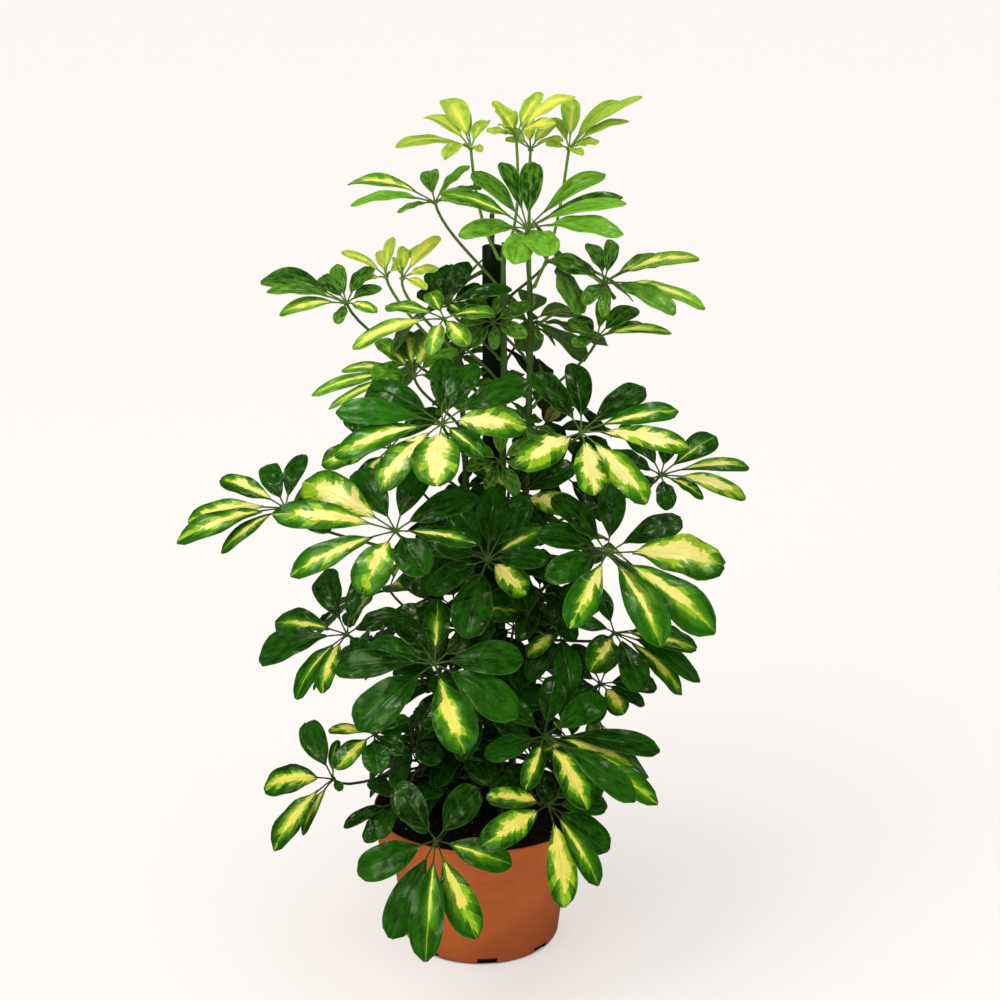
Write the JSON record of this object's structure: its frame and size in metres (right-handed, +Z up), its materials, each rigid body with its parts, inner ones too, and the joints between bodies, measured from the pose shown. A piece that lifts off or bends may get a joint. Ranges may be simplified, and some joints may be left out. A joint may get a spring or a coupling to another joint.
{
  "type": "potted umbrella plant",
  "caption": "Upright umbrella plant with palm-shaped leaves on long stalks, its stems round a dark support pole in a collared nursery pot of soil.",
  "frame": {"origin": "The middle of the flat base of the pot, where it rests on the floor.", "axes": "+Z is up. The plant's front, which the picture shows, faces -Y, and +X is to the viewer's right."},
  "size_m": [0.6799, 0.5733, 1.0652],
  "materials": {
    "pot": "satin",
    "soil": "matte",
    "support_pole": "gloss",
    "support_cane": "matte",
    "stem": "satin",
    "leaf": "gloss",
    "young_leaf": "satin"
  },
  "bodies": {
    "root": {"pot": "pot", "soil": "soil", "support_pole": "support_pole", "support_cane": "support_cane", "stem_right": "stem", "stem_front": "stem", "stem_left": "stem", "stem_back": "stem", "leaf_star_left": "leaf", "leaf_star_right": "leaf", "leaf_front_left": "leaf", "leaf_front_right": "leaf", "leaf_front_middle": "leaf", "leaf_front_low": "leaf", "leaf_low_right": "leaf", "leaf_low_right_rim": "leaf", "leaf_low_front_rim": "leaf", "leaf_top_bright": "leaf", "leaf_crown_far_left": "young_leaf", "leaf_crown_left": "young_leaf", "leaf_crown_right": "young_leaf", "leaf_crown_middle": "young_leaf", "leaf_left_high": "leaf", "leaf_right_high": "leaf", "leaf_right_upper": "leaf", "leaf_left_upper": "leaf", "leaf_young_left": "young_leaf", "leaf_young_right": "young_leaf", "leaf_dark_upper_left": "leaf", "leaf_inner_left": "leaf", "leaf_left_middle": "leaf", "leaf_far_right": "leaf", "leaf_far_left": "leaf", "leaf_left_low": "leaf", "leaf_right_low_inner": "leaf", "leaf_right_low_outer": "leaf", "leaf_right_low": "leaf", "leaf_low_left": "leaf", "leaf_low_left_inner": "leaf", "leaf_low_left_rim": "leaf", "leaf_inner_middle": "leaf", "leaf_inner_right": "leaf", "leaf_inner_upper_left": "leaf", "leaf_inner_low_left": "leaf", "leaf_inner_low_right": "leaf", "leaf_inner_foot": "leaf", "leaf_rear_1": "leaf", "leaf_rear_2": "leaf", "leaf_rear_3": "leaf", "leaf_rear_4": "leaf", "leaf_rear_5": "leaf", "leaf_rear_6": "leaf", "leaf_rear_7": "leaf", "leaf_rear_8": "leaf", "leaf_rear_9": "leaf", "leaf_rear_10": "leaf", "leaf_rear_11": "leaf", "leaf_rear_12": "leaf", "leaf_rear_13": "leaf", "leaf_rear_14": "leaf"}
  },
  "joints": []
}
